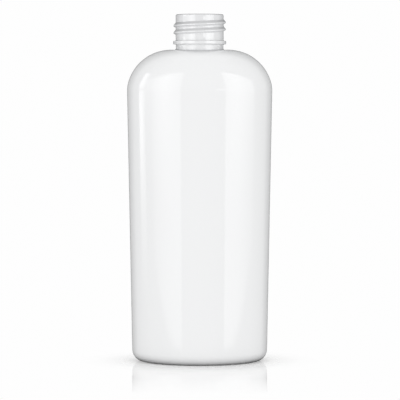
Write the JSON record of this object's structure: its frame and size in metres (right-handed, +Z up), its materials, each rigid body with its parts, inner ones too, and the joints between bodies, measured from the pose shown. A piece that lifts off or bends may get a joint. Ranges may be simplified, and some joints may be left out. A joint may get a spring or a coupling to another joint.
{
  "type": "oval plastic bottle",
  "caption": "White oval bottle, blown in one piece: tapering sides, arched shoulder, and a short round neck with a screw thread and a bead for a screw cap or pump.",
  "frame": {"origin": "middle of the base, on the surface that the bottle stands on", "axes": "+Z up along the neck's axis, X along the width of the oval, Y along its depth with the front facing -Y"},
  "size_m": [0.0658, 0.042, 0.1577],
  "materials": {
    "white_plastic": "glossy white polyester, smooth from a polished mould, slightly translucent at the neck"
  },
  "bodies": {
    "root": {"bottle": "white_plastic"}
  },
  "joints": []
}
